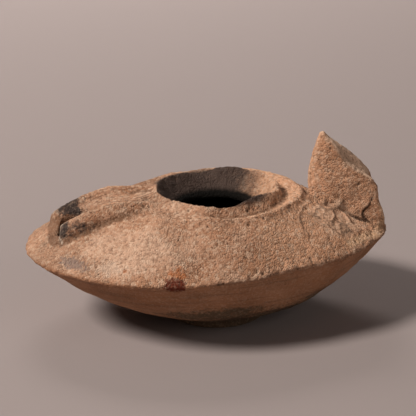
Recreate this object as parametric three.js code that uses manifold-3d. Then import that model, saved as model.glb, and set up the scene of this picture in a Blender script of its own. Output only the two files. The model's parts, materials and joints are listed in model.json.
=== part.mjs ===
// A mould-made terracotta oil lamp: one fired clay body, hollow, with a wide filling hole, an open channel
// that runs to a wick hole, a pinched tongue handle and a low disc foot.
// Millimetres, +Z up. The origin is the middle of the foot's underside, under the filling hole; the nozzle
// points to -X and the handle to +X.
import * as THREE from "three";
import { ParametricGeometry } from "three/addons/geometries/ParametricGeometry.js";
import { mergeVertices } from "three/addons/utils/BufferGeometryUtils.js";
import Module from "manifold-3d";

const wasm = await Module();
wasm.setup();

// ---- Driving dimensions ----
const SEAM_Z = 22; // height of the joint between the two mould halves, the widest line of the lamp
const SEAM_WAVE = 0.7; // how far that joint rises where the two halves were pressed together unevenly
const SEAM_SAG = 0.5; // how far it sinks towards the nozzle
const RIM_Z = 36.4; // crest of the filling hole's rim, before its waves
const RIM_LEAN = 1.6; // how far that rim leans in over the hole where it is highest
const HANDLE_Z = 50.6; // tip of the handle
const WALL = 3.4; // thickness of the clay
const CAVITY_START = 0.5; // share of that thickness which lies above the foot's disc
const HOLE_RADIUS = 16.4; // rim crest of the filling hole
const NECK_RADIUS = 10.6; // narrowest part of the funnel below that rim
const FUNNEL_DEPTH = 6.6; // from the rim crest down to the neck
const RING_RADIUS = 20; // second ridge round the hole
const RING_SHIFT = 3.2; // how far that ridge lies towards the handle
const RING_SQUEEZE = 1.9; // how far it is pressed in on one side
const RING_TOP_Z = 34.4; // its flat top
const GROOVE_Z = 33.5; // floor of the groove between that ridge and the rim
const FOOT_RADIUS = 14;
const FOOT_HEIGHT = 2;
const EDGE = 0.7; // rounding of the seam and the rim
const CHANNEL_START = -16.5; // where the channel leaves the rim
const CHANNEL_END = -44.4; // where its ridges break off at the wick hole
const RIDGE_Y = 6.7; // crest of each channel ridge
const RIDGE_HALF_WIDTH = 2.1;
const RIDGE_HEIGHT = 1.9; // crest above the channel's floor
const WICK_X = -39.7; // middle of the wick hole
const WICK_RADIUS = 3.8;
const SCAR_RADII = [2.7, 8.2, 4.2]; // scoop left where the lip in front of the wick hole broke away
const SCAR_MIDDLE = [-45.1, -1.9, SEAM_Z + 6];
const HANDLE_X = 26; // front edge of the handle
const HANDLE_CHIP = 4.2; // depth of the long chip along one edge of its back
const HANDLE_CHIP_Z = 42; // where that chip is deepest
const HANDLE_DISH = 1.1; // hollow of the handle's back
const TURN_STEPS = 84; // steps of the body round the vertical axis

// Half of the outline seen from above, from the blunt nozzle to the tail: [x, half width].
const OUTLINE = [
  [-52.7, 0],
  [-51.5, 7.7],
  [-48.5, 14],
  [-43.4, 20],
  [-36, 26.2],
  [-26, 31.5],
  [-13, 34.4],
  [0, 33.6],
  [12, 30.2],
  [24, 25.6],
  [34.5, 19],
  [42.5, 11],
  [47, 5],
  [48.3, 0],
];

const { lerp, smoothstep, clamp } = THREE.MathUtils;
const bump = (distance, halfWidth) =>
  0.5 + 0.5 * Math.cos(Math.PI * clamp(distance / halfWidth, -1, 1));

// ---- Outline as a radius for each direction from the filling hole's middle ----
const outlineRadius = (() => {
  const mirrored = OUTLINE.slice(1, -1).reverse();
  const points = [...OUTLINE, ...mirrored.map(([x, y]) => [x, -y])];
  const curve = new THREE.CatmullRomCurve3(
    points.map(([x, y]) => new THREE.Vector3(x, y, 0)),
    true,
  );
  const samples = curve
    .getPoints(720)
    .slice(0, -1)
    .map((p) => ({ angle: Math.atan2(p.y, p.x), radius: Math.hypot(p.x, p.y) }))
    .sort((a, b) => a.angle - b.angle);
  return (angle) => {
    const a = Math.atan2(Math.sin(angle), Math.cos(angle));
    let next = samples.findIndex((s) => s.angle > a);
    if (next < 0) next = 0;
    const before = samples[(next + samples.length - 1) % samples.length];
    const after = samples[next];
    const full = 2 * Math.PI;
    const gap = (after.angle - before.angle + full) % full;
    return lerp(before.radius, after.radius, ((a - before.angle + full) % full) / gap);
  };
})();

// ---- Heights of the upper half ----
const towardsTail = (angle) => 0.5 + 0.5 * Math.cos(angle);
const turnFrom = (angle, middle) =>
  Math.atan2(Math.sin(angle - middle), Math.cos(angle - middle));
const seamZ = (angle) =>
  SEAM_Z +
  SEAM_WAVE * bump(turnFrom(angle, -1), 0.45) -
  SEAM_SAG * smoothstep(1 - towardsTail(angle), 0.6, 0.97);
// The rim's waves: [middle, half width, height], the first two as angles.
const RIM_WAVES = [
  [-1, 0.75, 1],
  [-2.3, 0.55, 0.6],
  [1.9, 0.75, -1],
];
const rimZ = (angle) =>
  RIM_WAVES.reduce((z, [middle, half, height]) => z + height * bump(turnFrom(angle, middle), half), RIM_Z);
const rimRadius = (angle) => HOLE_RADIUS - RIM_LEAN * bump(turnFrom(angle, -0.95), 0.8);
const ringRadius = (angle) => {
  const squeeze = RING_SQUEEZE * bump(turnFrom(angle, -0.75), 0.9);
  return Math.max(RING_RADIUS + RING_SHIFT * Math.cos(angle) - squeeze, HOLE_RADIUS + 3.4);
};
// The second ridge stands clear at the tail and is worn away towards the nozzle.
const ringStrength = (angle) => smoothstep(towardsTail(angle), 0.28, 0.52);
const shoulderStart = (angle) => ringRadius(angle) + lerp(2, 1.7, ringStrength(angle));
const shoulderTopZ = (angle) => RING_TOP_Z - lerp(0.5, 1.6, ringStrength(angle));
// The shoulder falls in a flat arch from the ridge to the seam, fuller over the nozzle.
const shoulderPower = (angle) => lerp(1.25, 1.2, towardsTail(angle));

function shoulderZ(angle, radius) {
  const start = shoulderStart(angle);
  const share = clamp((radius - start) / (outlineRadius(angle) - start), 0, 1);
  return lerp(seamZ(angle), shoulderTopZ(angle), 1 - share ** shoulderPower(angle));
}

const surfaceZ = (x, y) => shoulderZ(Math.atan2(y, x), Math.hypot(x, y));

// ---- The bowl below the seam, as [radius, z] at a share of the way from the foot to the seam ----
// It bulges most below the handle.
const bowlBulge = (angle) => lerp(3.4, 5.2, smoothstep(Math.cos(angle), -0.2, 0.8));

function bowlPoint(angle, share) {
  const reach = outlineRadius(angle);
  const radius = lerp(FOOT_RADIUS + 0.7, reach - EDGE * 0.4, share);
  const chord = lerp(FOOT_HEIGHT + 0.4, seamZ(angle) - EDGE, share);
  return [radius, chord - bowlBulge(angle) * Math.sin(Math.PI * share ** 1.1)];
}

// ---- Profile of the body at one angle: from the middle of the reservoir's floor, up its wall, out over
// the rim, down the outside and in to the middle of the foot ----
function profileAt(angle) {
  const reach = outlineRadius(angle);
  const ring = ringRadius(angle);
  const strength = ringStrength(angle);
  const neckZ = RIM_Z - FUNNEL_DEPTH;
  const crestZ = rimZ(angle);
  const crest = rimRadius(angle);
  const wallFoot = HOLE_RADIUS + 1.5;
  const inside = (share) => {
    const [radius, z] = bowlPoint(angle, share);
    return [radius - WALL * 1.1 * share, z + WALL * lerp(1, 0.55, share)];
  };
  const shoulder = (share, wall) => {
    const radius = lerp(shoulderStart(angle), reach - EDGE * 0.5, share);
    return [radius - wall * 0.55 * share, shoulderZ(angle, radius) - wall];
  };
  return [
    [0, FOOT_HEIGHT + WALL * CAVITY_START],
    [FOOT_RADIUS * 0.55, FOOT_HEIGHT + WALL * (CAVITY_START + 0.05)],
    ...[0.04, 0.3, 0.55, 0.8].map(inside),
    [reach - WALL * 1.45, seamZ(angle) - 0.2],
    ...[0.8, 0.5, 0.22].map((share) => shoulder(share, WALL)),
    [HOLE_RADIUS + 0.6, shoulderTopZ(angle) - WALL],
    [NECK_RADIUS + 1.9, neckZ - 1.9],
    [NECK_RADIUS + 0.4, neckZ - 1.2],
    [NECK_RADIUS, neckZ],
    [lerp(NECK_RADIUS, HOLE_RADIUS, 0.45), lerp(neckZ, crestZ, 0.4)],
    [crest - EDGE, crestZ - EDGE],
    [crest, crestZ],
    [crest + EDGE, crestZ - EDGE],
    [wallFoot, lerp(crestZ - 1.6, GROOVE_Z + 0.2, strength)],
    [lerp(wallFoot, ring, 0.25), lerp(RING_TOP_Z + 0.3, GROOVE_Z, strength)],
    [ring - 0.6, RING_TOP_Z - 0.1],
    [ring + 0.4, RING_TOP_Z + lerp(-0.3, 0.2, strength)],
    [ring + 1.1, RING_TOP_Z - lerp(0.4, 0.9, strength)],
    ...[0, 0.15, 0.32, 0.5, 0.68, 0.84, 0.95].map((share) => shoulder(share, 0)),
    [reach, seamZ(angle)],
    ...[1, 0.86, 0.7, 0.52, 0.34, 0.16, 0].map((share) => bowlPoint(angle, share)),
    [FOOT_RADIUS, FOOT_HEIGHT],
    [FOOT_RADIUS, 0.4],
    [FOOT_RADIUS - 0.4, 0],
    [0, 0],
  ];
}

// ---- Grids and solids ----
// A grid of points closed round in u; rows that meet in one point become a fan of triangles.
function gridGeometry(pointAt, columns, rows) {
  const place = (u, v, target) =>
    target.set(...pointAt(Math.round(u * columns) % columns, Math.round(v * rows)));
  return new ParametricGeometry(place, columns, rows);
}

function solidOf(geometry) {
  geometry.deleteAttribute("normal");
  geometry.deleteAttribute("uv");
  const merged = mergeVertices(geometry, 1e-4);
  const corners = merged.index.array;
  const kept = [];
  for (let i = 0; i < corners.length; i += 3) {
    const [a, b, c] = corners.slice(i, i + 3);
    if (a !== b && b !== c && c !== a) kept.push(a, b, c);
  }
  const made = (triVerts) =>
    new wasm.Manifold(
      new wasm.Mesh({
        numProp: 3,
        vertProperties: merged.attributes.position.array,
        triVerts: new Uint32Array(triVerts),
      }),
    );
  const solid = made(kept);
  return solid.volume() > 0 ? solid : made(kept.reverse());
}

function body() {
  const profiles = Array.from({ length: TURN_STEPS }, (_, i) =>
    profileAt((2 * Math.PI * i) / TURN_STEPS),
  );
  const place = (column, row) => {
    const angle = (2 * Math.PI * column) / TURN_STEPS;
    const [radius, z] = profiles[column][row];
    return [radius * Math.cos(angle), radius * Math.sin(angle), z];
  };
  return solidOf(gridGeometry(place, TURN_STEPS, profiles[0].length - 1));
}

// A solid swept through sections of [x, y, z] points that go round once, closed by a point at each end.
function loft(sections) {
  const middle = (section) =>
    section
      .reduce((sum, point) => sum.map((value, axis) => value + point[axis]), [0, 0, 0])
      .map((value) => value / section.length);
  const first = middle(sections[0]);
  const last = middle(sections[sections.length - 1]);
  const place = (column, row) => {
    if (row === 0) return first;
    if (row === sections.length + 1) return last;
    return sections[row - 1][column];
  };
  return solidOf(gridGeometry(place, sections[0].length, sections.length + 1));
}

// ---- Channel: two ridges with a raised bed between them ----
const ridgeCrestZ = (x) => 35.7 - 0.0175 * (x + 24.5) ** 2;

// A bar along the channel: outlineAt(x) gives its top edge as [y, z] points, and it is rooted in the body.
function channelBar(outlineAt) {
  const steps = 14;
  const sections = [];
  for (let i = 0; i <= steps; i++) {
    const x = lerp(CHANNEL_START, CHANNEL_END, i / steps);
    const top = outlineAt(x);
    const under = top.map(([y]) => [y * 0.98, surfaceZ(x, y) - 1.6]).reverse();
    sections.push([...top, ...under].map(([y, z]) => [x, y, z]));
  }
  return loft(sections);
}

function ridge(side) {
  const shares = [-1, -0.6, -0.15, 0.15, 0.6, 1];
  return channelBar((x) =>
    shares.map((share) => {
      const offset = share * RIDGE_HALF_WIDTH;
      const y = side * (RIDGE_Y + offset);
      const fall = 2.6 * (1 - bump(offset, 1.35 * RIDGE_HALF_WIDTH));
      return [y, ridgeCrestZ(x) - fall];
    }),
  );
}

function channelBed() {
  const half = RIDGE_Y - 0.4;
  return channelBar((x) => [-half, 0, half].map((y) => [y, ridgeCrestZ(x) - RIDGE_HEIGHT]));
}

// ---- Wick hole, and the scar where the front of its lip broke away ----
function wickHole() {
  const sides = 20;
  const levels = [
    { z: SEAM_Z - 2.4, grow: -0.7 },
    { z: SEAM_Z + 3, grow: 0 },
    { z: SEAM_Z + 10, grow: 0.6 },
  ];
  const sections = levels.map(({ z, grow }) =>
    Array.from({ length: sides }, (_, i) => {
      const angle = (2 * Math.PI * i) / sides;
      const radius = WICK_RADIUS + grow;
      return [WICK_X + radius * 1.1 * Math.cos(angle), radius * Math.sin(angle), z];
    }),
  );
  return loft(sections);
}

function lipScar() {
  const scoop = new THREE.SphereGeometry(1, 20, 12).rotateX(Math.PI / 2);
  scoop.scale(...SCAR_RADII).translate(...SCAR_MIDDLE);
  return solidOf(scoop);
}

// ---- Handle: an upright tongue, thin in front and wider behind, with a dished back ----
const edgeCurve = (points) =>
  new THREE.CatmullRomCurve3(points.map(([x, z]) => new THREE.Vector3(x, 0, z)));
const HANDLE_FRONT = edgeCurve([
  [HANDLE_X + 0.4, 30],
  [HANDLE_X - 0.5, 37.5],
  [HANDLE_X + 0.6, 44],
  [HANDLE_X + 2.5, HANDLE_Z - 0.4],
]);
const HANDLE_BACK = edgeCurve([
  [47.2, 22.6],
  [46.5, 27],
  [45, 31.2],
  [44.5, 34.6],
  [43.1, 38.4],
  [37.2, 44.3],
  [31.6, 48.2],
  [HANDLE_X + 3.4, HANDLE_Z],
]);

function handle() {
  const levels = 24;
  const sections = [];
  for (let level = 0; level <= levels; level++) {
    const t = level / levels;
    const front = HANDLE_FRONT.getPointAt(t);
    const back = HANDLE_BACK.getPointAt(t);
    const frontHalf = lerp(3.6, 1, t ** 0.8);
    const backHalf = lerp(4.6, 1.3, t ** 2);
    const dish = HANDLE_DISH * Math.sin(Math.PI * clamp(0.1 + t, 0, 1)) * (back.x - front.x > 4);
    const chip = HANDLE_CHIP * bump(back.z - HANDLE_CHIP_Z, 7);
    // [share of the way from front to back, half width, share of the dish, share of the chip]
    const side = [
      [0, frontHalf * 0.4, 0, 0],
      [0.06, frontHalf * 0.85, 0, 0],
      [0.3, lerp(frontHalf, backHalf, 0.5), 0, 0],
      [0.55, lerp(frontHalf, backHalf, 0.8), 0, 0],
      [0.95, backHalf, 0, 1],
      [1, backHalf * 0.8, 0, 0.9],
      [1, backHalf * 0.3, 1, 0.55],
    ];
    const whole = side.map(([share, y, hollow]) => [share, y, hollow * dish]);
    const chipped = side.map(([share, y, hollow, cut]) => [share, -y, hollow * dish + cut * chip]);
    const outline = [...whole, ...chipped.reverse()];
    sections.push(
      outline.map(([share, y, inset]) => {
        const point = front.clone().lerp(back, share);
        return [point.x - inset, y, point.z];
      }),
    );
  }
  return loft(sections);
}

// ---- The lamp ----
function meshOf(solid, name, material) {
  const { vertProperties, triVerts } = solid.getMesh();
  const geometry = new THREE.BufferGeometry();
  geometry.setAttribute("position", new THREE.BufferAttribute(vertProperties, 3));
  geometry.setIndex(new THREE.BufferAttribute(triVerts, 1));
  geometry.computeVertexNormals();
  const mesh = new THREE.Mesh(geometry, material);
  mesh.name = name;
  return mesh;
}

const terracotta = new THREE.MeshStandardMaterial({ color: "#b08a6c", roughness: 0.95, metalness: 0 });
const clay = body()
  .add(channelBed())
  .add(ridge(1))
  .add(ridge(-1))
  .add(handle())
  .subtract(wickHole())
  .subtract(lipScar());

const group = new THREE.Group();
group.add(meshOf(clay, "lamp_body", terracotta));

export default group;
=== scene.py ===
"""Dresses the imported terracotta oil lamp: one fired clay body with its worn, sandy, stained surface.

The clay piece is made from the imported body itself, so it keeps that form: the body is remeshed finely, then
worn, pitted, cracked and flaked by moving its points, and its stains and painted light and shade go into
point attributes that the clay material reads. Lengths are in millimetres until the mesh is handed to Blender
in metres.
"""

import json
import math

import bpy
import numpy as np
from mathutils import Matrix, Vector
from mathutils.bvhtree import BVHTree


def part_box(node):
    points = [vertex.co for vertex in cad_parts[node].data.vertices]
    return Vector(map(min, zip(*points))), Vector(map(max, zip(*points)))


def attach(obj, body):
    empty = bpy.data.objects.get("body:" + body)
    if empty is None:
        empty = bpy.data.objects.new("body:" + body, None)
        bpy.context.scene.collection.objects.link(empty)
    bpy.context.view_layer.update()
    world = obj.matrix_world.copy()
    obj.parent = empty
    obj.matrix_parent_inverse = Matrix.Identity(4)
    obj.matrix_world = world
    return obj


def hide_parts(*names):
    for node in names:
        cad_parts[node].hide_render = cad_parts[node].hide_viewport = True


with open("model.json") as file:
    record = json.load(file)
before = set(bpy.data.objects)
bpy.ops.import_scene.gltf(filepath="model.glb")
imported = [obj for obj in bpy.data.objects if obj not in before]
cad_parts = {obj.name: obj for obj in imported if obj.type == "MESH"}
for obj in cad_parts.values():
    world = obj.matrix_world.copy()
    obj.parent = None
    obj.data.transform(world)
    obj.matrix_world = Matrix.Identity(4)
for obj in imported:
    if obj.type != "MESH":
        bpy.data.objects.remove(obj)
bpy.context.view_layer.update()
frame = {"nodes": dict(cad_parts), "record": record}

MM = 0.001
NODE = "lamp_body"
LOW, HIGH = (np.array(corner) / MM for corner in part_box(NODE))
OPENINGS = {
    opening["name"]: np.array(opening["box_m"]) / MM
    for opening in frame["record"]["physics"]["openings"]
}
WICK = OPENINGS["wick_hole"].mean(0)  # middle of the wick hole
NOZZLE_X, TAIL_X = LOW[0], HIGH[0]
HALF_WIDTH = HIGH[1]
HEIGHT = HIGH[2]
SEAM_Z = 0.434 * HEIGHT  # the joint between the two mould halves
RIM_Z = 0.72 * HEIGHT  # crest of the filling hole
HOLE_RADIUS = 0.475 * HALF_WIDTH

# ---- Camera ----
AZIMUTH, ELEVATION = math.radians(-9), math.radians(20.5)
CAMERA_DISTANCE = 0.45
LENS_MM, SENSOR_MM = 142.5, 36.0
NEAREST, FURTHEST = 0.01, 20  # metres between which the camera sees
TARGET = Vector((0.5 * (NOZZLE_X + TAIL_X) - 0.1, 0, 0.593 * HEIGHT)) * MM


def make_camera():
    data = bpy.data.cameras.new("camera")
    data.lens, data.sensor_width = LENS_MM, SENSOR_MM
    data.clip_start, data.clip_end = NEAREST, FURTHEST
    camera = bpy.data.objects.new("camera", data)
    back = Vector(
        (
            math.sin(AZIMUTH) * math.cos(ELEVATION),
            -math.cos(AZIMUTH) * math.cos(ELEVATION),
            math.sin(ELEVATION),
        )
    )
    camera.location = TARGET + back * CAMERA_DISTANCE
    camera.rotation_euler = back.to_track_quat("Z", "Y").to_euler()
    bpy.context.scene.collection.objects.link(camera)
    bpy.context.scene.camera = camera


# ---- Noise on arrays of points ----
def hashed(cells, seed):
    """A number from 0 to 1 for each row of whole-number cells."""
    x, y, z = (cells[..., axis].astype(np.int64) for axis in range(3))
    h = (x * 374761393 + y * 668265263 + z * 1440670441 + seed * 974634777) & 0xFFFFFFFF
    h = ((h ^ (h >> 13)) * 1274126177) & 0xFFFFFFFF
    h = ((h ^ (h >> 16)) * 2246822519) & 0xFFFFFFFF
    return ((h ^ (h >> 15)) & 0xFFFFFF) / float(0xFFFFFF)


CORNERS = [(i, j, k) for i in (0, 1) for j in (0, 1) for k in (0, 1)]
NEIGHBOURS = [(i, j, k) for i in (-1, 0, 1) for j in (-1, 0, 1) for k in (-1, 0, 1)]


def noise(points, size, seed):
    """Smooth noise from -1 to 1 whose features are about size across, or size[axis] along each axis."""
    scaled = points / np.array(size)
    cell = np.floor(scaled)
    part = scaled - cell
    smooth = part * part * part * (part * (part * 6 - 15) + 10)
    total = np.zeros(len(points))
    for corner in CORNERS:
        weight = np.prod(np.where(corner, smooth, 1 - smooth), axis=1)
        total += weight * hashed(cell + corner, seed)
    return 2 * total - 1


def rough(points, size, seed, octaves=3, gain=0.5):
    """Layers of noise, each half as large and gain times as strong as the one before."""
    total = sum(
        gain**i * noise(points, size=np.array(size) / 2.0**i, seed=seed + 17 * i) for i in range(octaves)
    )
    return total / sum(gain**i for i in range(octaves))


def nearest_grain(points, size, seed):
    """For scattered grains: distance in mm to the nearest, its own number from 0 to 1, and how much
    further away the second nearest is, which is 0 on the line between two grains' areas."""
    scaled = points / size
    cell = np.floor(scaled)
    best = np.full(len(points), 9.0)
    second = best.copy()
    owner = np.zeros(len(points))
    for offset in NEIGHBOURS:
        other = cell + offset
        jitter = np.stack([hashed(other, seed + axis) for axis in (1, 2, 3)], axis=1)
        distance = np.linalg.norm(other + jitter - scaled, axis=1)
        closer = distance < best
        second = np.where(closer, best, np.minimum(second, distance))
        best = np.where(closer, distance, best)
        owner = np.where(closer, hashed(other, seed + 4), owner)
    return best * size, owner, (second - best) * size


def ramp(value, start, end):
    """0 before start, 1 after end, smooth between; start may be the larger."""
    t = np.clip((value - start) / (end - start), 0, 1)
    return t * t * (3 - 2 * t)


def blob(points, centre, radii, ragged=0.35, size=2.5, seed=0, core=0.45):
    """1 in the core of an ellipsoid, falling to 0 at an edge made ragged by noise."""
    reach = np.linalg.norm((points - np.array(centre)) / np.array(radii), axis=1)
    return ramp(reach + ragged * rough(points, size=size, seed=seed, octaves=4, gain=0.7), 1.2, core)


def distance_to_path(points, path, reach=8.0):
    """Distance in mm from each point to a line through the points of path, but no more than reach."""
    corners = np.array(path)
    close = np.all((points > corners.min(0) - reach) & (points < corners.max(0) + reach), axis=1)
    near = points[close]
    best = np.full(len(near), reach)
    for a, b in zip(corners[:-1], corners[1:]):
        along = b - a
        share = np.clip(((near - a) @ along) / max(along @ along, 1e-9), 0, 1)
        best = np.minimum(best, np.linalg.norm(near - a - share[:, None] * along, axis=1))
    distance = np.full(len(points), reach)
    distance[close] = best
    return distance


# ---- The fine clay mesh ----
VOXEL = 0.47  # mm between the points of the fine mesh
MOST_TRIANGLES = 195_000
SETTLING = 3  # rounds of smoothing that take the voxels' steps off the fine mesh
PROBE_LIFT = 0.4  # mm above the surface at which a ray sets out
WALLS_ROUND = 5  # of six directions that meet clay inside the reservoir


def coordinates(mesh):
    flat = np.empty(len(mesh.vertices) * 3, np.float32)
    mesh.vertices.foreach_get("co", flat)
    return flat.reshape(-1, 3).astype(float)


def set_coordinates(mesh, points):
    mesh.vertices.foreach_set("co", points.astype(np.float32).ravel())
    mesh.update()


def normals(mesh):
    flat = np.empty(len(mesh.vertices) * 3, np.float32)
    mesh.vertices.foreach_get("normal", flat)
    return flat.reshape(-1, 3).astype(float)


def applied(obj):
    """The object's mesh with its modifiers applied, as a new mesh with the modifiers gone."""
    graph = bpy.context.evaluated_depsgraph_get()
    mesh = bpy.data.meshes.new_from_object(obj.evaluated_get(graph))
    obj.modifiers.clear()
    obj.data = mesh
    return mesh


def smoothed(mesh, values, rounds, strength=0.5):
    """Values at the points, each pulled towards the mean of its neighbours."""
    edges = np.empty(len(mesh.edges) * 2, np.int32)
    mesh.edges.foreach_get("vertices", edges)
    a, b = edges.reshape(-1, 2).T
    count = np.bincount(a, minlength=len(values)) + np.bincount(b, minlength=len(values))
    columns = values.reshape(len(values), -1)
    for _ in range(rounds):
        total = np.zeros_like(columns)
        for column in range(columns.shape[1]):
            total[:, column] = np.bincount(a, columns[b, column], len(columns))
            total[:, column] += np.bincount(b, columns[a, column], len(columns))
        columns = columns + strength * (total / count[:, None] - columns)
    return columns.reshape(values.shape)


def surface_tree(mesh):
    return BVHTree.FromPolygons(coordinates(mesh).tolist(), [tuple(p.vertices) for p in mesh.polygons])


def hidden_inside(mesh, points):
    """True for points on the reservoir's walls: clay lies in nearly every direction from them."""
    tree = surface_tree(mesh)
    facing = normals(mesh)
    starts = points + PROBE_LIFT * facing
    directions = [Vector(sign * axis) for axis in np.eye(3) for sign in (1, -1)]
    inside = np.zeros(len(points), bool)
    candidates = np.nonzero((points[:, 2] < RIM_Z - 5) & (points[:, 2] > 1.5))[0]
    for index in candidates:
        start = Vector(starts[index])
        hits = sum(tree.ray_cast(start, direction)[0] is not None for direction in directions)
        inside[index] = hits >= WALLS_ROUND
    return inside


def clay_mesh():
    """A fine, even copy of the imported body, coarse only inside the reservoir, in millimetres."""
    mesh = frame["nodes"][NODE].data.copy()
    set_coordinates(mesh, coordinates(mesh) / MM)
    obj = bpy.data.objects.new("clay_body", mesh)
    bpy.context.scene.collection.objects.link(obj)
    remesh = obj.modifiers.new("fine", "REMESH")
    remesh.mode, remesh.voxel_size, remesh.adaptivity = "VOXEL", VOXEL, 0
    mesh = applied(obj)
    points = smoothed(mesh, coordinates(mesh), rounds=SETTLING)
    set_coordinates(mesh, points)
    inside = hidden_inside(mesh, points)
    group = obj.vertex_groups.new(name="inside")
    group.add(np.nonzero(inside)[0].tolist(), 1, "REPLACE")
    triangles = 2 * len(mesh.polygons)
    thin = obj.modifiers.new("thin", "DECIMATE")
    thin.vertex_group = "inside"
    thin.ratio = min(1, MOST_TRIANGLES / triangles)
    thin.use_collapse_triangulate = True
    mesh = applied(obj)
    obj.vertex_groups.clear()
    return obj


# ---- Places on the lamp, in millimetres ----
HANDLE_FRONT_X = 0.54 * TAIL_X
HANDLE_BASE_Z = 33  # above this the handle stands clear of the shoulder
CHIP_BASE_Z = 36.4  # the broken strip down the handle's back ends here
CHANNEL_START_X, CHANNEL_END_X = -36, -15  # from the wick hole to the rim
CHANNEL_HALF_WIDTH = 6.4
CHANNEL_BASE_Z = 28
RUST = (-16.4, -33.4, 21.9)
# Lines drawn over the clay, near its surface. lay_lines moves them onto it before the wear and the stains.
LINES = {
    "crack": [(43.7, -4.2, 34.4), (42.7, -4.3, 32), (41.7, -4.4, 29.5), (40.2, -4.4, 28.4),
              (39.9, -4.4, 27.2), (40.8, -4.5, 25.7), (41.6, -4.6, 24.9)],
    "low_crack": [(41.6, -4.6, 24.9), (39.2, -5, 25.9), (37.3, -5, 26.9), (36, -4.4, 27.9),
                  (34, -4.2, 28.8)],
    "skin_edge": [(25.1, -6.2, 32.1), (21.9, -10.7, 32.3), (20.3, -14.3, 31.7), (19.9, -16.7, 30.6),
                  (20.2, -18.7, 29.4), (21.7, -19.2, 28.3)],
    "chip_edge": [(30.4, -3, 49.2), (31.5, -3.2, 47.4), (33.8, -3.4, 44.5), (35.6, -3.6, 41.7),
                  (38.5, -3.8, 39.6), (41.3, -4, 38), (42.9, -4, 37.4)],
    "trench": [(-44, 8, 26.4), (-44.3, 2.7, 25), (-44.7, -2.8, 24.4), (-44.6, -5.4, 24.4),
               (-43.8, -7.2, 24.6)],
    "ridge_end": [(-42.4, -6.4, 30), (-43.2, -7.2, 28.4), (-43.3, -8.4, 26.8), (-42.7, -8.8, 25.2)],
    "near_ridge": [(-43, -9, 25.6), (-38, -9.2, 28), (-32, -9, 30.4), (-26, -9, 32.2), (-20, -8.6, 33.6)],
    "far_ridge": [(-43, 9, 25.6), (-38, 9.2, 28), (-32, 9, 30.4), (-26, 9, 32.2), (-20, 8.6, 33.6)],
    "tail_edge": [(46.2, -4, 29), (46.6, -4.4, 25.2), (44, -7.2, 23), (40, -10.6, 23.4), (33.4, -16.7, 24)],
}
# Where the handle meets the shoulder on the near side. Mirrored both ways, it also runs along the far side
# of the handle and the walls round the wick hole.
HANDLE_ROOT = [(26, -3.4, 33.4), (36, -4.4, 28.4), (45, -4.6, 23.4)]


def around(points):
    """Distance from the upright axis through the filling hole, and the angle round it."""
    return np.hypot(points[:, 0], points[:, 1]), np.arctan2(points[:, 1], points[:, 0])


def along_line(name, known, wanted, at):
    """The line's coordinate number wanted, at the given values of its coordinate number known."""
    table = np.array(sorted((point[known], point[wanted]) for point in LINES[name]))
    return np.interp(at, table[:, 0], table[:, 1])


def above_seam(z):
    """1 on the shoulder and all above it."""
    return ramp(z, SEAM_Z, SEAM_Z + 2)


def on_handle(points):
    """1 on the handle, away from the shoulder."""
    behind_front = ramp(points[:, 0], HANDLE_FRONT_X - 2, HANDLE_FRONT_X)
    return behind_front * ramp(points[:, 2], HANDLE_BASE_Z, HANDLE_BASE_Z + 3)


def on_chip(points):
    """1 on the broken strip down the handle's back."""
    beyond = points[:, 0] - along_line("chip_edge", 2, 0, points[:, 2])
    return ramp(beyond, -0.3, 0.3) * ramp(points[:, 2], CHIP_BASE_Z, CHIP_BASE_Z + 1)


def soften_roots(mesh):
    """Blends the handle, the wick hole's walls and a little of the channel's ridges into the shoulder."""
    points = coordinates(mesh)
    ridges = np.minimum(*(distance_to_path(points, LINES[name]) for name in ("near_ridge", "far_ridge")))
    handle = distance_to_path(np.abs(points) * (1, -1, 1), HANDLE_ROOT)
    share = np.maximum(0.3 * ramp(ridges, 2, 0.8), ramp(handle, 3, 1.2))
    soft = smoothed(mesh, points, rounds=24, strength=0.7)
    set_coordinates(mesh, points + share[:, None] * (soft - points))


def lay_lines(mesh, step=0.8):
    """Moves every line of LINES onto the clay's surface, with a point at least every step mm."""
    tree = surface_tree(mesh)
    for name, path in LINES.items():
        laid = [path[0]]
        for start, end in zip(path[:-1], path[1:]):
            parts = math.ceil(math.dist(start, end) / step)
            laid += [Vector(start).lerp(Vector(end), part / parts) for part in range(1, parts + 1)]
        LINES[name] = [tuple(tree.find_nearest(point)[0]) for point in laid]


# ---- Wear: how far each point of the clay moves along its normal, in millimetres ----
# A wear function takes the points and near, which is each point's distance to every line of LINES.
def pits(points, size, radius, depth, share, seed):
    """Small hollows at scattered points: one in a cell of that size, for that share of the cells."""
    distance, owner, _ = nearest_grain(points, size=size, seed=seed)
    reach = radius * (0.6 + 0.8 * owner)
    return -depth * (owner < share) * np.exp(-((distance / reach) ** 2))


def overall_wear(points, near):
    """Uneven form, grain, pits and crumbs, but none under the foot, which stands flat."""
    free = ramp(points[:, 2], 0.3, 2.2)
    sandy = 0.4 + 0.6 * ramp(points[:, 2], SEAM_Z - 1.5, SEAM_Z)
    grain = 0.1 * rough(points, size=1.2, seed=37, octaves=2, gain=0.8)
    grain += pits(points, size=3.4, radius=0.45, depth=0.38, share=0.34, seed=41)
    grain += pits(points, size=1.5, radius=0.36, depth=0.2, share=0.6, seed=53)
    distance, owner, _ = nearest_grain(points, size=1.4, seed=67)
    crumbs = 0.16 * (owner < 0.5) * np.exp(-((distance / 0.42) ** 2))
    form = 0.34 * rough(points, size=15, seed=11, octaves=2)
    form += 0.2 * rough(points, size=5, seed=23, octaves=2)
    return free * (form + sandy * (grain + crumbs))


def crust(points):
    """Pale crumbs stuck to the shoulder beside the nozzle."""
    return blob(
        points, centre=(-32, -24.6, 24), radii=(7, 4.4, 2), ragged=0.8, size=1.8, seed=247, core=0.1
    )


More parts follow.
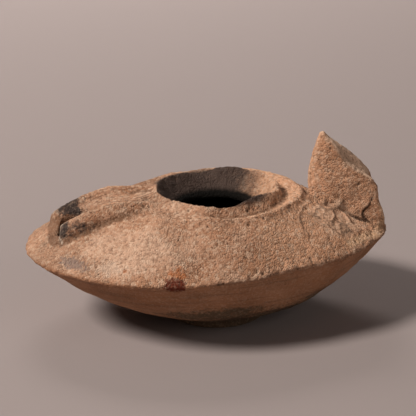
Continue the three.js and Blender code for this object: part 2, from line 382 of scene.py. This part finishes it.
def coarse_wear(points, near):
    """The sandier, pitted skin near the seam, towards the tail and on the ring."""
    radius, angle = around(points)
    low = ramp(points[:, 2], SEAM_Z + 5.5, SEAM_Z + 1.5) * ramp(points[:, 2], SEAM_Z - 1.5, SEAM_Z)
    ring = ramp(np.abs(radius - HOLE_RADIUS - 3), 4.6, 3.2) * ramp(points[:, 2], RIM_Z - 5, RIM_Z - 3.5)
    mask = np.maximum(low * ramp(np.cos(angle), -1.3, 0.1), 1.1 * ring * ramp(angle, 0.4, -0.2))
    mask = np.maximum(mask, 1.5 * crust(points))
    crumbs = rough(points, size=1.3, seed=73, octaves=2, gain=0.8)
    return mask * (0.2 * crumbs + pits(points, size=1.5, radius=0.5, depth=0.36, share=0.6, seed=79))


def rim_wear(points, near):
    """The crest of the rim waves, and has been knocked down in places on the far side."""
    radius, angle = around(points)
    crest = ramp(np.abs(radius - HOLE_RADIUS + 0.5), 3.4, 1) * ramp(points[:, 2], RIM_Z - 4, RIM_Z - 1)
    far_side = ramp(angle, 0, 0.6) * ramp(angle, 2.6, 2)
    knocks = far_side * ramp(noise(points, size=(6, 6, 9), seed=87), 0.2, 0.7)
    return crest * (0.5 * rough(points, size=(5, 5, 4), seed=71) - 0.7 * knocks)


def seam_wear(points, near):
    """The joint of the mould halves crumbles."""
    radius, _ = around(points)
    joint = ramp(np.abs(points[:, 2] - SEAM_Z), 2.4, 0.4) * ramp(radius, 24, 30)
    return joint * (0.36 * rough(points, size=(2.4, 2.4, 1.8), seed=83, octaves=2) - 0.08)


def in_channel(points):
    """1 on the channel's floor, between the ridges."""
    x, y, z = points.T
    across = ramp(np.abs(y), CHANNEL_HALF_WIDTH, CHANNEL_HALF_WIDTH - 1.8)
    along = ramp(x, CHANNEL_START_X, CHANNEL_START_X + 6) * ramp(x, CHANNEL_END_X, CHANNEL_END_X - 3)
    return across * along * ramp(z, CHANNEL_BASE_Z, CHANNEL_BASE_Z + 2)


def channel_wear(points, near):
    """Grooves drawn along the channel by the tool that smoothed it, crumbling towards the rim."""
    lines = noise(points, size=(14, 1, 30), seed=97) + 0.7 * noise(points, size=(9, 1.7, 30), seed=101)
    crumbled = ramp(points[:, 0], -27, -21) * rough(points, size=(2.2, 1.6, 2), seed=103, octaves=2)
    return in_channel(points) * (0.2 * lines + 0.3 * crumbled)


def handle_wear(points, near):
    """Dimples on the handle, which the broken strip lacks, and a raised line along that strip."""
    dimples = pits(points, size=1.3, radius=0.42, depth=0.2, share=0.7, seed=113)
    worn = 0.1 * rough(points, size=5, seed=127, octaves=2) + dimples
    edge = 0.25 * ramp(near["chip_edge"], 0.9, 0.2)
    return on_handle(points) * (1 - 0.9 * on_chip(points)) * (worn + edge)


def flaking(points):
    """Where the surface has come away in thin layers, below the near side of the handle."""
    return blob(points, centre=(32, -9.6, 28.8), radii=(10, 7, 5.5), ragged=0.3, size=4, seed=131, core=0.8)


def flake_layers(points):
    """Number of the flake that each point lies on, and how far it is from that flake's wandering edge."""
    wander = np.stack([noise(points, size=2.2, seed=139 + axis) for axis in range(3)], 1)
    bent = points + 1.3 * wander
    _, owner, edge = nearest_grain(bent, size=4.4, seed=149)
    return owner, edge


def flake_wear(points, near):
    """Flakes lie at three levels, with their edges turned up."""
    owner, edge = flake_layers(points)
    step = 0.34 * (owner > 0.3) + 0.26 * (owner > 0.65)
    return flaking(points) * (step - 0.36 + 0.2 * ramp(edge, 1.2, 0.3) * (owner > 0.3))


def crack_closes(z):
    """1 along the cracks, falling to 0 where the main one closes at its top."""
    return ramp(z, 34.6, 31)


def crack_wear(points, near):
    """Two cracks, and the thin plate of clay that stands up between them."""
    above = ramp(points[:, 2] - along_line("low_crack", 0, 2, points[:, 0]), -0.2, 0.2)
    before = ramp(along_line("crack", 2, 0, points[:, 2]) - points[:, 0], -0.2, 0.2)
    gap = np.minimum(near["crack"], near["low_crack"])
    plate = above * before * ramp(gap, 4.5, 0.5) * (points[:, 1] < 0) * ramp(points[:, 2], 33, 29)
    return 0.3 * plate - 0.22 * ramp(gap, 0.5, 0.1) * crack_closes(points[:, 2])


def skin_wear(points, near):
    """A thin skin of clay ends in a curved edge beside the handle."""
    edge = along_line("skin_edge", 1, 0, points[:, 1])
    wander = 0.3 * noise(points, size=2, seed=153)
    beyond = ramp(points[:, 0] - edge + wander, -0.3, 0.3)
    reach = near["skin_edge"]
    return -0.2 * beyond * ramp(reach, 4.5, 0.3) + 0.08 * (1 - beyond) * ramp(reach, 1.6, 0.2)


def trench_wear(points, near):
    """The broken lip: a narrow, smooth-floored trench with a thin raised edge towards the nozzle."""
    gap = near["trench"]
    lip = ramp(np.abs(gap - 1.9), 0.7, 0.1) * ramp(points[:, 0], -44.8, -45.6)
    floor = ramp(gap, 2, 1)
    broken = ramp(np.linalg.norm(points - (WICK[0], 0, 29), axis=1), 9, 5)
    return 0.25 * lip + 0.4 * floor + 0.22 * broken * rough(points, size=2.4, seed=157)


def bowl_wear(points, near):
    """The lower half was wiped in level strokes and has a few lumps of spare clay near the foot."""
    below = ramp(points[:, 2], SEAM_Z - 1, SEAM_Z - 4) * ramp(points[:, 2], 0.4, 2.5)
    strokes = noise(points, size=(14, 14, 1.2), seed=163)
    lumps = ramp(rough(points, size=(7, 7, 4), seed=167, octaves=2), 0.1, 0.7) * ramp(points[:, 2], 8, 3)
    return below * (0.12 * strokes + 0.5 * lumps)


WEAR = (
    overall_wear,
    coarse_wear,
    rim_wear,
    seam_wear,
    channel_wear,
    handle_wear,
    flake_wear,
    crack_wear,
    skin_wear,
    trench_wear,
    bowl_wear,
)


# ---- Stains, each from 0 to 1 at every point ----
def soot(points):
    """Black where the flame burnt: on both ridges' ends and round the wick hole."""
    x, y, z = points.T
    within = ramp(z + 0.65 * x, -12.8, -11.2)  # 0 on the bowl's outside, which rises towards the nozzle
    hole = ramp(np.hypot(x - WICK[0], y), 4.6, 3.6) * ramp(z, 24.5, 21.5) * within
    far_end = blob(
        points, centre=(-40.9, 6, 31), radii=(7, 4.4, 3.6), ragged=0.45, size=1.6, seed=221, core=0.2
    )
    far_wall = blob(
        points, centre=(-38.6, 3.8, 29.8), radii=(4.6, 2.2, 1.8), ragged=0.5, size=1.6, seed=223, core=0.3
    )
    near_end = blob(
        points, centre=(-41.6, -7.6, 28.8), radii=(3.8, 2.8, 3.2), ragged=0.5, size=1.5, seed=227, core=0.2
    )
    near_side = blob(
        points, centre=(-38.4, -8.6, 30), radii=(5.4, 2, 2.2), ragged=0.6, size=1.6, seed=229, core=0.1
    )
    return np.maximum.reduce([0.95 * far_end, far_wall, 0.9 * near_end, 0.65 * near_side, hole])


def smoke(points):
    """The funnel's inside and the far rim are smoked, least where the tail side was worn clean."""
    radius, angle = around(points)
    far = ramp(np.sin(angle), 0.1, 0.7)
    funnel = ramp(radius, HOLE_RADIUS + 0.8 + 4.5 * far, HOLE_RADIUS - 1.2 + 2 * far)
    drift = 0.25 * rough(points, size=8, seed=211, octaves=2)
    clean = ramp(np.abs(angle) + drift, 1.0, 0.15)
    # painted shade: the smoke darkens lower down the funnel
    deep_painted_shade = ramp(points[:, 2], RIM_Z - 0.5, RIM_Z - 7)
    return funnel * ramp(points[:, 2], RIM_Z - 13, RIM_Z - 12) * (0.85 + 0.15 * deep_painted_shade) * (1 - 0.8 * clean)


def fire_stains(points, inside):
    """What the flame left: soot, smoke and scorched clay, and painted shade, near black, down the filling
    hole and inside the hollow.
    """
    x, _, z = points.T
    radius, _ = around(points)
    # painted shade down the throat of the filling hole and inside the hollow by the wick hole
    throat = ramp(radius, HOLE_RADIUS, HOLE_RADIUS - 3) * ramp(z, RIM_Z - 2.5, RIM_Z - 8.5) * (z > 3)
    scorched = blob(points, centre=(-40.6, 3.4, 27.4), radii=(4.6, 3.2, 2), ragged=0.4, size=2, seed=257)
    return {
        "soot": soot(points),
        "smoke": smoke(points),
        "scorched": scorched,
        "deep_painted_shade": np.maximum(throat, inside * ramp(x, WICK[0] - 1, WICK[0] + 2)),
    }


def stains_and_painted_shade(points, near, cavity, cloud):
    """Earth, crusts and coloured stains that lie on the clay, darker creases, and painted shade low on the
    bowl and along the near ridge.
    """
    x, _, z = points.T
    main_crack = ramp(near["crack"] + 0.2 * ramp(z, 28, 33), 0.5, 0.15) * crack_closes(z)
    low_crack = ramp(near["low_crack"], 0.55, 0.15) * ramp(x, 32.5, 39)
    # painted shade: darker towards the foot
    foot = ramp(z + 4 * cloud - 3 * ramp(x, -4, 12), 10, 2.5)
    # painted shade low on the near side of the bowl
    painted_shade_patch = blob(
        points, centre=(-5, -25, 7.6), radii=(18, 9, 6), ragged=0.4, size=5, seed=269, core=0.3
    )
    grey = blob(
        points, centre=(-41, -18.2, 23.6), radii=(5, 6.4, 1.5), ragged=0.7, size=1.8, seed=241, core=0.1
    )
    orange = blob(
        points, centre=(-15, -31.4, 24.2), radii=(2.6, 2.8, 1.9), ragged=0.9, size=1.3, seed=239, core=0.1
    )
    orange_dot = blob(points, centre=(-28.2, -26.9, 24.2), radii=(0.7, 0.7, 0.7), ragged=0)
    pale_dash = blob(points, centre=(13.4, -25.8, 27.5), radii=(1.3, 0.9, 0.5), ragged=0)
    return {
        "crack": np.maximum(main_crack, low_crack),
        "foot": np.maximum(foot, 0.8 * painted_shade_patch),
        "grey": grey,
        "orange": np.maximum(orange, orange_dot),
        "rust": blob(points, centre=RUST, radii=(3, 2.8, 2.1), ragged=0.6, size=1.6, seed=233, core=0.6),
        "crust": np.maximum(crust(points), pale_dash),
        # soot towards the nozzle, and painted shade on the near ridge's outer wall
        "root": ramp(near["near_ridge"], 1.7, 0.4) * ramp(x, -14, -32),
        # darker in the creases and hollows of the form, less on the flakes
        "crease_dark": above_seam(z) * ramp(cavity, 0.02, 0.28) * (1 - 0.8 * flaking(points)),
    }


def broken_places(points, near):
    """Where the clay is broken, flaked, rubbed or scratched, with painted shade along the skin's edge and in
    the trench, and a painted highlight on a ridge's broken end.
    """
    owner, edge = flake_layers(points)
    return {
        "flaked": 0.7 * flaking(points),
        "flake_edge": flaking(points) * ramp(edge, 0.7, 0.15) * (owner > 0.3),
        # painted shade: a faint dark line along the skin's edge
        "skin_edge_painted_shade": ramp(near["skin_edge"], 0.5, 0.1),
        # partly painted shade: the trench's brown clay, darkened as though in the shadow of its lip
        "trench": ramp(near["trench"], 2, 1.3),
        # pale line on the ridge's broken end: fresh clay, with a painted highlight
        "broken_edge_and_highlight": ramp(near["ridge_end"], 0.45, 0.1),
        "chip": on_chip(points),
        "rubbed": on_handle(points) * ramp(points[:, 0], HANDLE_FRONT_X + 6, HANDLE_FRONT_X + 2),
        "scratched": in_channel(points),
    }


def clay_tones(points, near, depth, cavity, cloud):
    """Broad changes in the clay's own colour, painted light on the shoulder and the tail side, and what wears
    pale or stays dark.
    """
    x, _, z = points.T
    upper = above_seam(z)
    ruddy = upper * ramp(cloud, -0.1, 0.35) * ramp(z, SEAM_Z + 11, SEAM_Z + 3)
    # partly painted light: a paler patch on the near shoulder towards the nozzle, the side that faces the
    # lamp
    light = blob(
        points, centre=(-25, -22, 26), radii=(22, 13, 7), ragged=0.5, size=7, seed=263, core=0.2
    )
    return {
        "bowl": ramp(z, SEAM_Z + 0.3, SEAM_Z - 1),
        "light": upper * light,
        # painted fill light: lighter, warmer clay towards the tail, the side that faces away from the lamp
        "warm_painted_fill": upper * ramp(x + 6 * cloud, -6, 20),
        "ruddy": np.maximum(ruddy, ramp(z, HEIGHT - 12, HEIGHT - 4)),
        "ochre": ramp(near["tail_edge"] + 0.6 * cloud, 2, 0.3),
        "worn": upper * ramp(-cavity, 0.08, 0.45) * (1 - smoke(points)),
        "hollow": 0.5 + 2.2 * depth * (1 - 0.6 * flaking(points)),
    }


def paint(obj, values):
    """Keeps each named value, cut to 0 to 1, as an attribute of the object's points."""
    for name, value in values.items():
        layer = obj.data.attributes.new(name, "FLOAT", "POINT")
        layer.data.foreach_set("value", np.clip(value, 0, 1).astype(np.float32))


# ---- Clay material ----
def add_node(tree, kind, **settings):
    """A new node; each setting is the value of the input of that name, or else a property of the node."""
    node = tree.nodes.new(kind)
    for key, value in settings.items():
        if key in node.inputs:
            node.inputs[key].default_value = value
        else:
            setattr(node, key, value)
    return node


class Clay:
    """Builds the clay's node tree step by step; colours are linear."""

    def __init__(self, name):
        self.material = bpy.data.materials.new(name)
        self.material.use_nodes = True
        self.tree = self.material.node_tree
        self.tree.nodes.clear()
        self.place = add_node(self.tree, "ShaderNodeTexCoord").outputs["Object"]

    def link(self, source, target):
        self.tree.links.new(source, target)

    def noise(self, size_mm, detail, roughness):
        texture = add_node(
            self.tree, "ShaderNodeTexNoise", Scale=1 / (size_mm * MM), Detail=detail, Roughness=roughness
        )
        self.link(self.place, texture.inputs["Vector"])
        return texture.outputs["Fac"]

    def strokes(self, size_mm, stretch):
        """Noise drawn out along the axes where stretch is small."""
        moved = add_node(self.tree, "ShaderNodeMapping", Scale=stretch)
        self.link(self.place, moved.inputs["Vector"])
        texture = add_node(self.tree, "ShaderNodeTexNoise", Scale=1 / (size_mm * MM), Detail=2.0)
        self.link(moved.outputs["Vector"], texture.inputs["Vector"])
        return texture.outputs["Fac"]

    def grains(self, size_mm):
        """For grains packed side by side: each one's own number, and the distance from its middle."""
        texture = add_node(self.tree, "ShaderNodeTexVoronoi", Scale=1 / (size_mm * MM))
        self.link(self.place, texture.inputs["Vector"])
        return texture.outputs["Color"], texture.outputs["Distance"]

    def ramp(self, value, start, end, low=0.0, high=1.0):
        """Low before start, high after end, smooth between; start may be the larger."""
        node = add_node(self.tree, "ShaderNodeMapRange", interpolation_type="SMOOTHSTEP")
        for socket, number in zip(node.inputs[1:5], (start, end, low, high)):
            socket.default_value = number
        self.link(value, node.inputs[0])
        return node.outputs[0]

    def math(self, operation, a, b):
        node = add_node(self.tree, "ShaderNodeMath", operation=operation)
        for socket, value in zip(node.inputs, (a, b)):
            if isinstance(value, (int, float)):
                socket.default_value = value
            else:
                self.link(value, socket)
        return node.outputs[0]

    def add(self, a, b):
        return self.math("ADD", a, b)

    def minus(self, a, b):
        return self.math("SUBTRACT", a, b)

    def times(self, a, b):
        return self.math("MULTIPLY", a, b)

    def stain(self, name):
        """The value that paint kept under that name."""
        return add_node(self.tree, "ShaderNodeAttribute", attribute_name=name).outputs["Fac"]

    def mix(self, share, below, above):
        """The colour below, with that share of the colour above laid over it."""
        node = add_node(self.tree, "ShaderNodeMix", data_type="RGBA")
        self.link(share, node.inputs[0])
        for socket, colour in ((node.inputs[6], below), (node.inputs[7], above)):
            if isinstance(colour, tuple):
                socket.default_value = (*colour, 1)
            else:
                self.link(colour, socket)
        return node.outputs[2]


TAN = (0.55, 0.305, 0.187)
BROWN = (0.47, 0.24, 0.136)
CREAM = (0.72, 0.52, 0.37)
BUFF = (0.65, 0.42, 0.285)
UMBER = (0.2, 0.105, 0.062)
EARTH = (0.13, 0.075, 0.045)
GRAIN_RELIEF = 0.55  # mm that a height of 1 stands for
# Broad tones of the clay, some of them painted light, then what lies on it, some of it painted shade and one
# partly a painted highlight: how strongly each covers the clay at most, how ragged its edge is, and its
# colour.
TONES_AND_PAINTED_LIGHT = {
    "bowl": (0.7, 0.1, (0.37, 0.165, 0.08)),
    # partly painted light: paler where the near shoulder faces the lamp
    "light": (0.6, 0.3, (0.7, 0.47, 0.33)),
    # painted fill light: lighter and warmer on the tail side
    "warm_painted_fill": (0.8, 0.2, (0.7, 0.38, 0.22)),
    "ruddy": (0.4, 0.3, (0.44, 0.21, 0.11)),
    "ochre": (0.75, 0.1, (0.74, 0.47, 0.28)),
    "flaked": (0.55, 0.2, (0.6, 0.4, 0.275)),
    "chip": (0.8, 0.1, (0.68, 0.47, 0.33)),
    "worn": (0.4, 0.4, (0.76, 0.53, 0.37)),
}
# Some of these are painted shade, and one is partly a painted highlight.
STAINS_AND_PAINTED_LIGHT = {
    "flake_edge": (0.65, 0.1, (0.14, 0.08, 0.05)),
    # painted shade along the skin's edge
    "skin_edge_painted_shade": (0.15, 0.3, (0.16, 0.09, 0.06)),
    "scorched": (0.85, 0.2, (0.24, 0.115, 0.06)),
    # partly painted shade: the trench's brown, darkened as though in shadow
    "trench": (0.85, 0.1, (0.28, 0.15, 0.088)),
    # soot near the nozzle, and painted shade along the near ridge's outer wall
    "root": (0.7, 0.4, (0.2, 0.1, 0.055)),
    # darker in the creases of the form
    "crease_dark": (0.75, 0.5, (0.21, 0.11, 0.062)),
    "crust": (0.55, 0.5, (0.8, 0.59, 0.44)),
    "grey": (0.75, 0.4, (0.24, 0.18, 0.155)),
    # painted shade, darkest at the foot
    "foot": (0.85, 0.3, (0.08, 0.066, 0.042)),
    "smoke": (0.95, 0.1, (0.075, 0.053, 0.045)),
    "soot": (0.93, 0.3, (0.04, 0.033, 0.032)),
    # fresh clay and a painted highlight on the ridge's broken end
    "broken_edge_and_highlight": (0.8, 0.2, (0.66, 0.52, 0.4)),
    # painted shade: near black down the filling hole and inside the hollow
    "deep_painted_shade": (0.985, 0.05, (0.005, 0.004, 0.003)),
    "orange": (0.7, 0.4, (0.45, 0.13, 0.03)),
    "rust": (0.95, 0.35, (0.13, 0.02, 0.008)),
    "crack": (0.85, 0.1, (0.07, 0.035, 0.02)),
}


def stained(clay, colour, stains, broken):
    """The colour with each stain mixed over it, their edges broken up by noise from -1 to 1."""
    for name, (cover, ragged, tint) in stains.items():
        edge = clay.times(broken, ragged)
        share = clay.ramp(clay.add(clay.stain(name), edge), 0.1, 0.9, 0, cover)
        share = clay.times(share, clay.ramp(clay.stain(name), 0, 0.15))
        colour = clay.mix(share, colour, tint)
    return colour


def bare_colour(clay, broken):
    """The clay's drifting tan and brown, with its broad tones, some of them painted light."""
    drift = clay.noise(size_mm=8, detail=5, roughness=0.65)
    colour = clay.mix(clay.ramp(drift, 0.4, 0.62), TAN, BROWN)
    pale = clay.noise(size_mm=5, detail=4, roughness=0.65)
    colour = clay.mix(clay.ramp(pale, 0.52, 0.68, 0, 0.6), colour, BUFF)
    return stained(clay, colour, TONES_AND_PAINTED_LIGHT, broken)


def sanded_colour(clay, colour, grain, sand):
    """Dark and pale grains over the colour, and earth in every small hollow."""
    sandy = clay.ramp(clay.stain("bowl"), 0, 1, 1, 0.15)
    for number, dark, pale in ((grain, 0.5, 0.4), (sand, 0.4, 0.5)):
        colour = clay.mix(clay.times(clay.ramp(number, 0.62, 0.9, 0, dark), sandy), colour, UMBER)
        colour = clay.mix(clay.times(clay.ramp(number, 0.38, 0.1, 0, pale), sandy), colour, CREAM)
    colour = clay.mix(clay.ramp(clay.stain("hollow"), 0.58, 0.95, 0, 0.8), colour, EARTH)
    return clay.mix(clay.ramp(clay.stain("hollow"), 0.4, 0.1, 0, 0.35), colour, BUFF)


def dusted_colour(clay, colour, grain):
    """Pale dust on scattered grains, but not where the clay is smoked or painted with shade."""
    smoke_and_painted_shade = clay.add(clay.stain("smoke"), clay.stain("deep_painted_shade"))
    dust = clay.times(clay.ramp(grain, 0.42, 0.2, 0, 0.12), clay.ramp(smoke_and_painted_shade, 0.6, 0))
    return clay.mix(dust, colour, CREAM)


def relief(clay, grain, grain_middle, sand, sand_middle, broken, scratch):
    """The height of the grains and scratches, lower where the clay is smooth."""
    height = clay.minus(clay.times(grain, 0.9), clay.times(grain_middle, 0.9))
    coarse = clay.minus(clay.times(sand, 0.5), clay.times(sand_middle, 0.45))
    height = clay.add(clay.add(height, coarse), clay.times(broken, 0.25))
    height = clay.minus(height, scratch)
    smooth = clay.stain("chip")
    for name, share in (("bowl", 0.5), ("flaked", 0.9), ("rubbed", 0.6), ("ochre", 0.6)):
        smooth = clay.add(smooth, clay.times(clay.stain(name), share))
    calm = clay.ramp(clay.noise(size_mm=11, detail=2, roughness=0.5), 0.38, 0.62, 0.45, 1.15)
    return clay.times(height, clay.times(calm, clay.ramp(smooth, 0, 1, 1, 0.2)))


def terracotta():
    """Sandy fired clay, with the stains and the painted light and shade that paint kept."""
    clay = Clay("terracotta_clay")
    grain, grain_middle = clay.grains(size_mm=0.45)
    sand, sand_middle = clay.grains(size_mm=0.9)
    broken = clay.ramp(clay.noise(size_mm=1.1, detail=4, roughness=0.75), 0.3, 0.7, -1, 1)
    scratches = clay.strokes(size_mm=0.8, stretch=(0.07, 1.0, 0.5))
    scratch = clay.times(clay.ramp(scratches, 0.52, 0.64, 0, 0.7), clay.stain("scratched"))
    streaks = clay.strokes(size_mm=1.0, stretch=(0.06, 0.06, 1.0))
    streak = clay.times(clay.ramp(streaks, 0.48, 0.66, 0, 0.35), clay.stain("bowl"))
    colour = sanded_colour(clay, bare_colour(clay, broken), grain, sand)
    colour = clay.mix(clay.add(scratch, streak), colour, UMBER)
    colour = stained(clay, colour, STAINS_AND_PAINTED_LIGHT, broken)
    colour = dusted_colour(clay, colour, grain)
    height = relief(clay, grain, grain_middle, sand, sand_middle, broken, scratch)
    shader = add_node(clay.tree, "ShaderNodeBsdfPrincipled", Roughness=0.93)
    shader.inputs["Specular IOR Level"].default_value = 0.15
    shader.inputs["Diffuse Roughness"].default_value = 0.5
    bump = add_node(clay.tree, "ShaderNodeBump", Strength=1.0, Distance=GRAIN_RELIEF * MM)
    output = add_node(clay.tree, "ShaderNodeOutputMaterial")
    clay.link(colour, shader.inputs["Base Color"])
    clay.link(height, bump.inputs["Height"])
    clay.link(bump.outputs[0], shader.inputs["Normal"])
    clay.link(shader.outputs[0], output.inputs["Surface"])
    return clay.material


def make_clay():
    """The dressed clay body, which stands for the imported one."""
    obj = clay_mesh()
    mesh = obj.data
    soften_roots(mesh)
    lay_lines(mesh)
    points, facing = coordinates(mesh), normals(mesh)
    near = {name: distance_to_path(points, path) for name, path in LINES.items()}
    move = sum(wear(points, near) for wear in WEAR)
    depth = smoothed(mesh, move, rounds=8) - move  # how deep the wear leaves each point
    cavity = ((smoothed(mesh, points, rounds=16) - points) * facing).sum(1)  # how hollow the form is there
    cloud = rough(points, size=(9, 9, 7), seed=201)
    paint(obj, fire_stains(points, hidden_inside(mesh, points)))
    paint(obj, stains_and_painted_shade(points, near, cavity, cloud))
    paint(obj, broken_places(points, near))
    paint(obj, clay_tones(points, near, depth, cavity, cloud))
    set_coordinates(mesh, (points + move[:, None] * facing) * MM)
    mesh.shade_smooth()
    mesh.materials.clear()
    mesh.materials.append(terracotta())
    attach(obj, "root")
    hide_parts(NODE)


# ---- Floor, backdrop and light ----
def plain(name, colour):
    """A matt material of one colour, for the floor."""
    material = bpy.data.materials.new(name)
    material.use_nodes = True
    shader = material.node_tree.nodes["Principled BSDF"]
    shader.inputs["Base Color"].default_value = (*colour, 1)
    shader.inputs["Roughness"].default_value = 0.9
    shader.inputs["Specular IOR Level"].default_value = 0.1
    return material


def make_sweep():
    """A round floor that curves up into a backdrop on every side."""
    near, reach = 0.3, 0.9  # radii of the flat floor's two rings, in metres
    bend, top = 0.5, 1.6  # the curve's radius and the backdrop's height
    steps = 12
    profile = [(0.0, 0.0), (near, 0.0), (reach, 0.0)]
    for step in range(1, steps + 1):
        angle = 0.5 * math.pi * step / steps
        profile.append((reach + bend * math.sin(angle), bend * (1 - math.cos(angle))))
    profile.append((reach + bend, top))
    turns = 96
    points = [(0.0, 0.0, 0.0)]
    for radius, z in profile[1:]:
        for turn in range(turns):
            angle = 2 * math.pi * turn / turns
            points.append((radius * math.cos(angle), radius * math.sin(angle), z))
    faces = [(0, 1 + t, 1 + (t + 1) % turns) for t in range(turns)]
    for ring in range(len(profile) - 2):
        a, b = 1 + ring * turns, 1 + (ring + 1) * turns
        faces += [(a + t, b + t, b + (t + 1) % turns, a + (t + 1) % turns) for t in range(turns)]
    mesh = bpy.data.meshes.new("sweep")
    mesh.from_pydata(points, [], faces)
    mesh.shade_smooth()
    mesh.materials.append(plain("paper", (0.316, 0.266, 0.251)))
    sweep = bpy.data.objects.new("sweep", mesh)
    bpy.context.scene.collection.objects.link(sweep)


def area_light(name, place, aim, size, power, colour, spread=180):
    """A round lamp of that diameter and power in watts; spread is the full angle of its beam in degrees."""
    data = bpy.data.lights.new(name, "AREA")
    data.shape, data.size = "DISK", size
    data.energy, data.color = power, colour
    data.spread = math.radians(spread)
    light = bpy.data.objects.new(name, data)
    light.location = place
    light.rotation_euler = (Vector(place) - Vector(aim)).to_track_quat("Z", "Y").to_euler()
    bpy.context.scene.collection.objects.link(light)


def make_lights():
    subject = (0, 0, 0.02)
    area_light(
        "key", place=(-0.817, -0.234, 0.855), aim=subject, size=0.3, power=16.8, colour=(1, 0.95, 0.91)
    )
    area_light(
        "back",
        place=(0, 1.05, 0.8),
        aim=(0, 0.75, 0),
        size=0.6,
        power=3.8,
        colour=(1, 0.96, 0.94),
        spread=80,
    )
    area_light(
        "fill", place=(0.75, -0.85, 0.65), aim=subject, size=0.8, power=2.2, colour=(1, 0.97, 0.94)
    )
    world = bpy.data.worlds.new("world")
    world.use_nodes = True
    background = world.node_tree.nodes["Background"]
    background.inputs["Color"].default_value = (1, 0.96, 0.93, 1)
    background.inputs["Strength"].default_value = 0.05
    bpy.context.scene.world = world
    bpy.context.scene.view_settings.view_transform = "Standard"


make_camera()
make_sweep()
make_lights()
make_clay()
